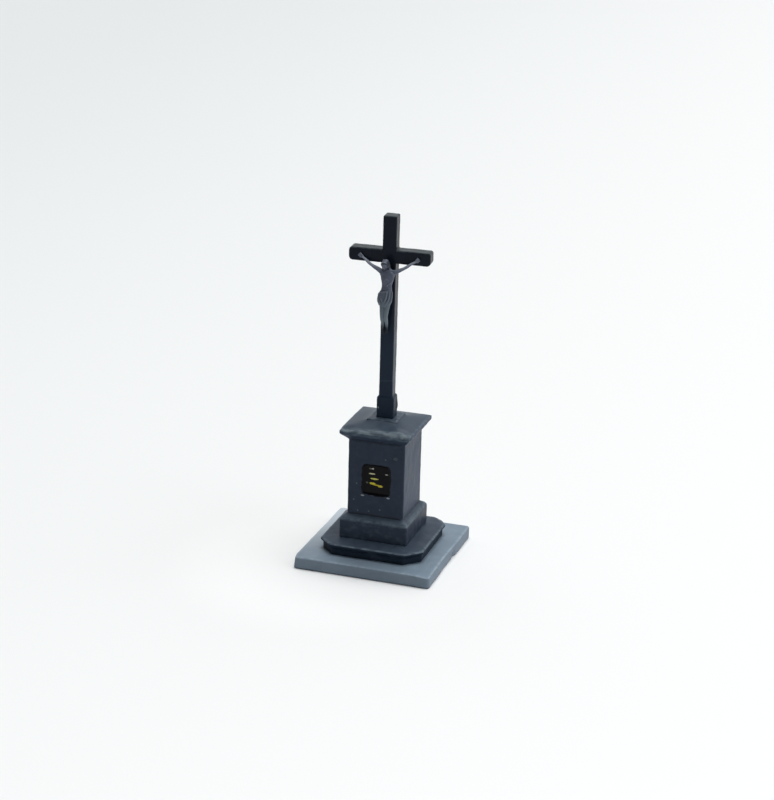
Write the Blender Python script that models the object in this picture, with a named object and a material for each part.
"""A wayside cross on a stone pedestal, modelled as the painted 1:87 miniature that it is.

Five pieces: a square base plate, an octagonal step, the pedestal (plinth block, die and cap
cast in one), the cross with its thickened foot, and the corpus, a small cast figure.
Metres, +Z up. The origin is the middle of the base plate's underside, and -Y is the front.
"""

import math

import bmesh
import bpy
from mathutils import Matrix, Vector

MM = 0.001

# Clearances between pieces
SEAT_GAP = 0.2 * MM  # left under every piece that stands on another
SOCKET_CLEARANCE = 0.15 * MM  # around the foot of the cross in its socket

# Base plate
PLATE_SIDE = 21.7 * MM
PLATE_THICKNESS = 1.9 * MM
PLATE_CORNER_RADIUS = 0.45 * MM
PLATE_EDGE_RADIUS = 0.3 * MM

# Octagonal step
STEP_SIDE = 16.4 * MM  # across the flats, at the rim
STEP_CORNER_CUT = 2.2 * MM  # leg of each cut corner
STEP_THICKNESS = 1.6 * MM  # at the rim
STEP_CROWN = 0.22 * MM  # rise of the top from the rim to the plinth block
STEP_UNDERCUT = 0.35 * MM  # how far the foot of the rim draws in
STEP_LIP = 0.4 * MM  # height of the rim that overhangs the undercut
STEP_EDGE_RADIUS = 0.16 * MM

# Pedestal
PLINTH_SIDE = 10.7 * MM
PLINTH_HEIGHT = 2.65 * MM  # its upright faces
LEDGE_RISE = 0.85 * MM  # the sloping ledge from the plinth block in to the die
DIE_SIDE = 8.85 * MM
DIE_HEIGHT = 12.15 * MM
CAP_SIDE = 11.3 * MM
CAP_FLARE = 1.3 * MM  # height of the slope that carries the cap outwards
CAP_LIP = 0.42 * MM  # height of the cap's upright edge
CAP_CROWN = 0.75 * MM  # rise of the cap's top to the pad
PAD_SIDE = 4.7 * MM  # low square pad under the cross
PAD_HEIGHT = 0.32 * MM
PAD_CHAMFER = 0.12 * MM
PEDESTAL_EDGE_RADIUS = 0.16 * MM
PEDESTAL_CORNER_RADIUS = 0.22 * MM

# Sunk inscription panel in the front of the die
PANEL_WIDTH = 4.4 * MM
PANEL_HEIGHT = 4.75 * MM
PANEL_DEPTH = 0.25 * MM
PANEL_ABOVE_LEDGE = 3.6 * MM
PANEL_TOP_RADIUS = 0.75 * MM
PANEL_BOTTOM_RADIUS = 0.25 * MM

# Cross
CROSS_TURN = math.radians(3.0)  # it was glued in a little turned
SHAFT_WIDTH = 2.0 * MM
SHAFT_DEPTH = 2.05 * MM
CROSS_HEIGHT = 31.5 * MM  # from the cap's pad to the top
BAR_LENGTH = 12.5 * MM
BAR_HEIGHT = 1.95 * MM
BAR_BELOW_TOP = 5.17 * MM  # from the top of the shaft down to the top of the bar
BAR_END_RADIUS = 0.38 * MM
BAR_WORN_RADIUS = 0.62 * MM  # lower corner of the end to the viewer's right
CROSS_EDGE = 0.12 * MM
FOOT_WIDTH = 2.56 * MM
FOOT_DEPTH = 2.3 * MM
FOOT_HEIGHT = 3.25 * MM  # above the pad, up to the sloping shoulder
FOOT_SHOULDER = 0.22 * MM
SOCKET_DEPTH = 0.8 * MM

# Corpus
FIGURE_HEIGHT = 11.8 * MM  # crown of the head to the toes
TOES_BELOW_BAR = 10.85 * MM  # from the underside of the bar
FIGURE_VOXEL = 0.075 * MM
FIGURE_SHARE_OF_FACES = 0.2  # what the thinning leaves

ARC_STEPS = 3

# Heights, from the floor up
plate_top = PLATE_THICKNESS
step_bottom = plate_top + SEAT_GAP
step_rim = step_bottom + STEP_THICKNESS
step_top = step_rim + STEP_CROWN
plinth_bottom = step_top + SEAT_GAP
plinth_top = plinth_bottom + PLINTH_HEIGHT
die_bottom = plinth_top + LEDGE_RISE
die_top = die_bottom + DIE_HEIGHT
cap_lip = die_top + CAP_FLARE
cap_rim = cap_lip + CAP_LIP
cap_crown = cap_rim + CAP_CROWN
pad_top = cap_crown + PAD_HEIGHT
cross_top = pad_top + CROSS_HEIGHT
bar_top = cross_top - BAR_BELOW_TOP
bar_bottom = bar_top - BAR_HEIGHT


def clear_scene():
    for obj in list(bpy.data.objects):
        bpy.data.objects.remove(obj, do_unlink=True)


def paint(name, colour, roughness, metallic=0.0):
    """One Principled material in a plain colour."""
    material = bpy.data.materials.new(name)
    material.use_nodes = True
    shader = material.node_tree.nodes["Principled BSDF"]
    shader.inputs["Base Color"].default_value = (*colour, 1.0)
    shader.inputs["Roughness"].default_value = roughness
    shader.inputs["Metallic"].default_value = metallic
    return material


def add_object(name, bm, material=None):
    """Turns a bmesh into a named object with its faces pointing out."""
    bmesh.ops.recalc_face_normals(bm, faces=bm.faces)
    mesh = bpy.data.meshes.new(name)
    bm.to_mesh(mesh)
    bm.free()
    obj = bpy.data.objects.new(name, mesh)
    bpy.context.scene.collection.objects.link(obj)
    if material:
        mesh.materials.append(material)
    return obj


def hide_cutter(obj):
    obj.hide_render = True
    obj.display_type = "WIRE"
    return obj


def boolean(obj, other, operation):
    modifier = obj.modifiers.new(operation.title(), "BOOLEAN")
    modifier.operation = operation
    modifier.object = other
    modifier.solver = "EXACT"


# Outlines

def rounded_outline(corners, radii, steps=ARC_STEPS):
    """A flat outline whose corners are arcs. Each radius belongs to one corner, and 0 keeps it sharp."""
    outline = []
    count = len(corners)
    for i, radius in enumerate(radii):
        corner = Vector(corners[i])
        before = (Vector(corners[i - 1]) - corner).normalized()
        after = (Vector(corners[(i + 1) % count]) - corner).normalized()
        half_angle = before.angle(after) / 2
        if radius <= 0 or half_angle > math.radians(89):
            outline.append(corner)
            continue
        setback = radius / math.tan(half_angle)
        centre = corner + (before + after).normalized() * radius / math.sin(half_angle)
        start = corner + before * setback - centre
        end = corner + after * setback - centre
        sweep = start.angle_signed(end)
        for step in range(steps + 1):
            turn = Matrix.Rotation(-sweep * step / steps, 2)
            outline.append(centre + turn @ start)
    return outline


def square(half):
    return [(-half, -half), (half, -half), (half, half), (-half, half)]


def octagon(half, cut):
    inner = half - cut
    return [(-inner, -half), (inner, -half), (half, -inner), (half, inner),
            (inner, half), (-inner, half), (-half, inner), (-half, -inner)]


def rectangle(width, height, low=0.0):
    return [(-width / 2, low), (width / 2, low), (width / 2, low + height), (-width / 2, low + height)]


# Solids from outlines

def stack(rings):
    """A closed bmesh through a stack of rings of 3-D points, bottom first."""
    bm = bmesh.new()
    rows = [[bm.verts.new(point) for point in ring] for ring in rings]
    for low, high in zip(rows, rows[1:]):
        for i in range(len(low)):
            j = (i + 1) % len(low)
            bm.faces.new((low[i], low[j], high[j], high[i]))
    bm.faces.new(list(reversed(rows[0])))
    bm.faces.new(rows[-1])
    return bm


def swept_square(profile, corner_radius):
    """Carries a profile of (half side, height) points round a square with rounded corners."""
    rings = []
    for half, height in profile:
        outline = rounded_outline(square(half), [corner_radius] * 4)
        rings.append([(x, y, height) for x, y in outline])
    return stack(rings)


def smoothed_profile(points, radius):
    """Rounds the inner points of an open profile, and keeps its two ends."""
    closing = [Vector((0.0, points[-1][1])), Vector((0.0, points[0][1]))]
    corners = [Vector(point) for point in points] + closing
    radii = [0.0] + [radius] * (len(points) - 2) + [0.0] * 3
    rounded = rounded_outline(corners, radii)
    return rounded[:-2]


def prism(outline, front, back, edge=0.0):
    """Extrudes an (x, z) outline from y = front to y = back, with its two rims bevelled by edge."""
    bm = stack([[(x, y, z) for x, z in outline] for y in (front + edge, back - edge)])
    if edge:
        bmesh.ops.recalc_face_normals(bm, faces=bm.faces)
        ends = [face for face in bm.faces if abs(face.normal.y) > 0.9]
        for face in ends:
            bmesh.ops.inset_region(bm, faces=[face], thickness=edge, depth=edge, use_even_offset=True)
    return bm


# The stone-coloured pieces

def make_base_plate(material):
    half = PLATE_SIDE / 2
    profile = smoothed_profile([(half, 0.0), (half, plate_top), (half / 2, plate_top)], PLATE_EDGE_RADIUS)
    return add_object("base_plate", swept_square(profile, PLATE_CORNER_RADIUS), material)


def make_step(material):
    """An octagonal slab: its rim overhangs an undercut foot, and its top rises a little to the middle."""
    half = STEP_SIDE / 2
    seat = PLINTH_SIDE / 2 + STEP_EDGE_RADIUS
    levels = smoothed_profile([
        (half - STEP_UNDERCUT, step_bottom),
        (half - STEP_UNDERCUT, step_rim - STEP_LIP - STEP_UNDERCUT / 2),
        (half, step_rim - STEP_LIP),
        (half, step_rim),
        (seat, step_top),
        (seat / 2, step_top),
    ], STEP_EDGE_RADIUS)
    rings = []
    for side, height in levels:
        share = max(0.0, (side - seat) / (half - seat))
        cut = STEP_CORNER_CUT * max(share, 0.1)
        rings.append([(x, y, height) for x, y in octagon(side, cut)])
    return add_object("step", stack(rings), material)


def make_panel_cutter():
    """The sunk panel: a shallow rectangle with its top corners rounded."""
    low = die_bottom + PANEL_ABOVE_LEDGE
    radii = [PANEL_BOTTOM_RADIUS] * 2 + [PANEL_TOP_RADIUS] * 2
    outline = rounded_outline(rectangle(PANEL_WIDTH, PANEL_HEIGHT, low), radii)
    front = -DIE_SIDE / 2
    return hide_cutter(add_object("panel_cutter", prism(outline, front - PANEL_DEPTH, front + PANEL_DEPTH)))


def make_socket_cutter():
    """The pocket in the pad that takes the foot of the cross."""
    width = FOOT_WIDTH + 2 * SOCKET_CLEARANCE
    depth = FOOT_DEPTH + 2 * SOCKET_CLEARANCE
    low = pad_top - SOCKET_DEPTH
    bm = prism(rectangle(width, 2 * SOCKET_DEPTH, low), -depth / 2, depth / 2)
    return hide_cutter(add_object("socket_cutter", bm))


def make_pedestal(material):
    """Plinth block, sloping ledge, die, flared cap and pad, in one casting."""
    profile = smoothed_profile([
        (PLINTH_SIDE / 2, plinth_bottom),
        (PLINTH_SIDE / 2, plinth_top),
        (DIE_SIDE / 2, die_bottom),
        (DIE_SIDE / 2, die_top),
        (CAP_SIDE / 2, cap_lip),
        (CAP_SIDE / 2, cap_rim),
        (PAD_SIDE / 2 + PEDESTAL_EDGE_RADIUS, cap_crown),
    ], PEDESTAL_EDGE_RADIUS)
    profile += [Vector((PAD_SIDE / 2, pad_top - PAD_CHAMFER)), Vector((PAD_SIDE / 2 - PAD_CHAMFER, pad_top))]
    pedestal = add_object("pedestal", swept_square(profile, PEDESTAL_CORNER_RADIUS), material)
    socket = make_socket_cutter()
    socket.rotation_euler.z = CROSS_TURN
    boolean(pedestal, make_panel_cutter(), "DIFFERENCE")
    boolean(pedestal, socket, "DIFFERENCE")
    return pedestal


# The cross

def cross_outline():
    """Front outline of shaft and bar, counter-clockwise from the foot, with the bar's ends rounded."""
    shaft, bar = SHAFT_WIDTH / 2, BAR_LENGTH / 2
    low = pad_top + FOOT_HEIGHT / 2
    corners = [(-shaft, low), (shaft, low), (shaft, bar_bottom), (bar, bar_bottom), (bar, bar_top),
               (shaft, bar_top), (shaft, cross_top), (-shaft, cross_top), (-shaft, bar_top),
               (-bar, bar_top), (-bar, bar_bottom), (-shaft, bar_bottom)]
    end, top = BAR_END_RADIUS, CROSS_EDGE
    radii = [0, 0, 0, BAR_WORN_RADIUS, end, 0, top, top, 0, end, end, 0]
    return rounded_outline(corners, radii)


def foot_ring(width, depth, height):
    return [(x, y * depth / width, height) for x, y in square(width / 2)]


def make_cross(material, turned):
    cross = add_object("cross", prism(cross_outline(), -SHAFT_DEPTH / 2, SHAFT_DEPTH / 2, CROSS_EDGE), material)
    foot_bottom = pad_top - SOCKET_DEPTH + SEAT_GAP
    shoulder = pad_top + FOOT_HEIGHT
    inset = 2 * CROSS_EDGE
    foot = stack([
        foot_ring(FOOT_WIDTH, FOOT_DEPTH, foot_bottom),
        foot_ring(FOOT_WIDTH, FOOT_DEPTH, shoulder),
        foot_ring(SHAFT_WIDTH - inset, SHAFT_DEPTH - inset, shoulder + FOOT_SHOULDER + CROSS_EDGE),
    ])
    boolean(cross, hide_cutter(add_object("cross_foot_blank", foot)), "UNION")
    cross.parent = turned
    return cross


# The corpus. Its places are (side, forward, up) in hundredths of its height: forward is from the
# face of the cross, and up is from the toes. A side of -1 is to the viewer's left.

def figure_point(place):
    side, forward, up = place
    unit = FIGURE_HEIGHT / 100
    toes = bar_bottom - TOES_BELOW_BAR
    face = -SHAFT_DEPTH / 2 - SEAT_GAP
    return Vector((side * unit, face - forward * unit, toes + up * unit))


def figure_rings(stations, across, sides=12):
    """A lofted body part. Each station is (place, half width, half thickness), and across points
    along the half width."""
    unit = FIGURE_HEIGHT / 100
    places = [figure_point(station[0]) for station in stations]
    rings = []
    for i, (_, wide, thick) in enumerate(stations):
        along = (places[min(i + 1, len(places) - 1)] - places[max(i - 1, 0)]).normalized()
        u = (Vector(across) - along * along.dot(Vector(across))).normalized()
        v = along.cross(u)
        ring = []
        for k in range(sides):
            angle = 2 * math.pi * k / sides
            ring.append(places[i] + u * wide * unit * math.cos(angle) + v * thick * unit * math.sin(angle))
        rings.append(ring)
    return rings


def add_loft(bm, stations, across=(1, 0, 0)):
    part = stack(figure_rings(stations, across))
    add_bmesh(bm, part)


def add_bmesh(bm, part):
    bmesh.ops.recalc_face_normals(part, faces=part.faces)
    mesh = bpy.data.meshes.new("figure_part")
    part.to_mesh(mesh)
    part.free()
    bm.from_mesh(mesh)
    bpy.data.meshes.remove(mesh)


def add_limb(bm, places, radii):
    """A round limb through places, with a ball at each end so that it closes smoothly."""
    add_loft(bm, [(place, radius, radius) for place, radius in zip(places, radii)], across=(0, 1, 0.3))
    for place, radius in ((places[0], radii[0]), (places[-1], radii[-1])):
        add_ball(bm, place, (radius, radius, radius))


def add_ball(bm, place, radii, lean=0.0):
    """An ellipsoid with radii (side, forward, up), leaned sideways by an angle in degrees."""
    unit = FIGURE_HEIGHT / 100
    part = bmesh.new()
    scale = Matrix.Diagonal((radii[0] * unit, radii[1] * unit, radii[2] * unit, 1.0))
    move = Matrix.Translation(figure_point(place)) @ Matrix.Rotation(math.radians(lean), 4, "Y")
    bmesh.ops.create_icosphere(part, subdivisions=3, radius=1.0, matrix=move @ scale)
    add_bmesh(bm, part)


def add_torso(bm):
    add_loft(bm, [
        ((0.8, 8.0, 87.5), 2.8, 2.8),
        ((1.2, 7.6, 85.3), 7.4, 3.7),
        ((1.5, 7.4, 82.0), 9.6, 5.0),
        ((1.6, 7.6, 77.5), 9.7, 6.0),
        ((1.5, 7.6, 73.5), 9.2, 6.1),
        ((1.2, 7.2, 69.5), 8.3, 5.4),
        ((0.8, 6.4, 65.0), 7.1, 4.6),
        ((0.3, 6.4, 59.0), 7.6, 4.8),
        ((0.0, 7.0, 52.0), 8.6, 5.6),
        ((-0.4, 7.4, 46.0), 7.4, 5.4),
    ])
    for side in (-1, 1):
        add_ball(bm, (side * 4.6 + 1.5, 11.0, 80.2), (5.2, 1.9, 3.4), lean=side * 10)
        add_limb(bm, [(1.4, 13.1, 75.0), (side * 3.5 + 1.4, 12.6, 71.4), (side * 6.8 + 1.2, 9.6, 67.4)],
                 [0.9, 0.9, 0.7])
        for rib in range(3):
            drop = rib * 2.6
            add_limb(bm, [(side * 3.8 + 1.5, 12.9, 76.4 - drop), (side * 7.3 + 1.5, 11.0, 77.2 - drop),
                          (side * (9.6 - rib * 0.4) + 1.4, 7.6, 78.6 - drop)], [0.55, 0.7, 0.6])
    add_ball(bm, (0.6, 9.3, 62.6), (4.4, 2.2, 5.2))


def add_head(bm):
    """A head bowed to the viewer's left, with parted hair to the shoulders and a short beard."""
    add_limb(bm, [(0.7, 8.4, 84.5), (-0.5, 10.0, 89.8)], [2.9, 2.6])
    add_ball(bm, (-1.8, 11.4, 94.0), (4.3, 5.2, 5.6), lean=-10)
    add_ball(bm, (-1.1, 13.2, 91.2), (3.4, 3.4, 4.6), lean=-10)
    add_ball(bm, (-0.5, 14.4, 88.0), (2.1, 1.9, 2.4), lean=-10)
    add_limb(bm, [(-1.5, 16.6, 93.1), (-1.1, 17.0, 91.2)], [0.5, 0.8])
    for side in (-1, 1):
        add_limb(bm, [(side * 3.2 - 1.9, 12.6, 96.4), (side * 4.1 - 1.5, 12.4, 93.0),
                      (side * 4.2 - 0.9, 11.0, 89.0), (side * 4.0 - 0.2, 9.4, 85.2)], [1.5, 1.6, 1.5, 1.0])
    add_limb(bm, [(-2.3, 9.4, 98.0), (-1.9, 7.4, 93.8), (-0.8, 6.2, 87.6)], [2.8, 3.8, 2.9])


def add_arm(bm, side, places):
    shoulder, deltoid, biceps, elbow, forearm, wrist, palm, tips = places
    add_limb(bm, [shoulder, deltoid, biceps, elbow, forearm, wrist], [3.3, 2.7, 2.15, 1.65, 1.85, 1.2])
    add_limb(bm, [wrist, palm], [1.3, 1.3])
    add_ball(bm, palm, (2.1, 1.1, 1.8), lean=side * 40)
    reach = Vector(tips) - Vector(palm)
    spread = Vector((-reach.z, 0.0, reach.x)).normalized()
    for finger in (-1, 0, 1):
        base = Vector(palm) + spread * finger * 1.1
        tip = Vector(palm) + reach * (1.0 - 0.12 * abs(finger)) + spread * finger * 1.7
        add_limb(bm, [base, (base + tip) / 2, tip], [0.85, 0.8, 0.65])
    thumb = Vector(palm) - spread * side * 2.6 + reach * 0.35
    add_limb(bm, [palm, thumb], [0.9, 0.7])


def add_arms(bm):
    add_arm(bm, -1, [(-6.9, 7.8, 83.4), (-11.0, 7.6, 85.6), (-16.0, 7.0, 87.6), (-21.4, 6.0, 90.4),
                     (-24.8, 4.8, 92.3), (-29.4, 2.6, 95.4), (-33.6, 1.3, 97.8), (-38.4, 1.5, 101.8)])
    add_arm(bm, 1, [(9.0, 7.8, 83.0), (12.6, 7.6, 84.4), (17.0, 7.0, 86.4), (22.6, 6.0, 89.2),
                    (26.2, 4.8, 91.8), (31.4, 2.6, 95.4), (35.4, 1.3, 97.6), (40.0, 1.5, 101.8)])


def add_legs(bm):
    """Two legs close together, bent at the knee and straightening to feet that point down."""
    add_limb(bm, [(-3.6, 7.4, 49.0), (-3.1, 9.2, 37.0), (-2.5, 10.8, 27.0), (-2.4, 11.2, 23.0)], [4.8, 3.8, 2.8, 2.6])
    add_limb(bm, [(3.6, 7.6, 49.0), (2.7, 9.4, 37.0), (2.2, 10.9, 27.0), (2.2, 11.3, 23.4)], [4.6, 3.7, 2.8, 2.6])
    add_limb(bm, [(-2.4, 10.8, 22.8), (-2.9, 8.0, 17.2), (-3.3, 5.2, 11.4), (-3.4, 3.0, 6.8)], [2.4, 2.3, 1.6, 1.3])
    add_limb(bm, [(2.2, 10.9, 23.0), (1.9, 8.2, 17.4), (1.6, 5.6, 12.0), (1.4, 3.8, 7.8)], [2.4, 2.3, 1.7, 1.4])
    add_limb(bm, [(-3.4, 1.9, 6.8), (-3.5, 3.4, 4.2), (-3.3, 3.9, 1.2)], [1.4, 1.4, 1.1])
    add_limb(bm, [(1.4, 2.2, 7.8), (1.5, 4.3, 5.2), (1.3, 4.8, 2.2)], [1.5, 1.5, 1.2])


def add_loincloth(bm):
    """A cloth wound round the hips: its folds sweep down from a knot at the viewer's left."""
    add_loft(bm, [
        ((0.0, 6.8, 60.5), 7.8, 5.2),
        ((-0.6, 7.1, 55.5), 9.2, 6.1),
        ((-0.9, 7.4, 48.0), 9.6, 6.7),
        ((-0.9, 7.7, 42.0), 8.7, 6.6),
        ((-1.0, 8.2, 37.8), 6.4, 5.8),
    ])
    for fold in range(5):
        drop = fold * 3.9
        add_limb(bm, [(-8.8, 10.0, 54.4 - drop * 0.35), (-4.6, 13.4, 52.6 - drop * 0.75),
                      (1.4, 14.2, 52.0 - drop), (7.2 - fold * 0.6, 11.4, 57.0 - drop)], [1.2, 1.0, 0.8, 0.6])
    add_ball(bm, (-9.2, 9.2, 54.6), (1.9, 2.2, 2.3))
    add_limb(bm, [(-8.9, 8.8, 54.4), (-9.8, 8.4, 48.0), (-9.9, 8.0, 42.6), (-8.7, 7.6, 38.6)], [1.6, 1.9, 2.0, 1.4])
    add_limb(bm, [(-8.4, 6.2, 54.0), (-9.6, 5.4, 47.0), (-9.2, 5.2, 41.0)], [1.6, 1.8, 1.6])


def make_corpus(material, turned):
    """The body parts are melted into one skin, smoothed, and thinned to a few thousand faces."""
    bm = bmesh.new()
    for add_part in (add_torso, add_head, add_arms, add_legs, add_loincloth):
        add_part(bm)
    corpus = add_object("corpus", bm, material)
    melt = corpus.modifiers.new("Melt", "REMESH")
    melt.mode = "VOXEL"
    melt.voxel_size = FIGURE_VOXEL
    soften = corpus.modifiers.new("Soften", "SMOOTH")
    soften.iterations = 2
    thin = corpus.modifiers.new("Thin", "DECIMATE")
    thin.ratio = FIGURE_SHARE_OF_FACES
    corpus.parent = turned
    return corpus


def main():
    clear_scene()
    plate_grey = paint("plate_grey", (0.19, 0.235, 0.28), 0.62)
    stone_grey = paint("stone_grey", (0.04, 0.047, 0.06), 0.55)
    cross_black = paint("cross_black", (0.012, 0.014, 0.018), 0.4)
    figure_grey = paint("figure_grey", (0.085, 0.095, 0.12), 0.45)
    turned = bpy.data.objects.new("cross_axis", None)
    bpy.context.scene.collection.objects.link(turned)
    turned.rotation_euler.z = CROSS_TURN
    make_base_plate(plate_grey)
    make_step(stone_grey)
    make_pedestal(stone_grey)
    make_cross(cross_black, turned)
    make_corpus(figure_grey, turned)


main()
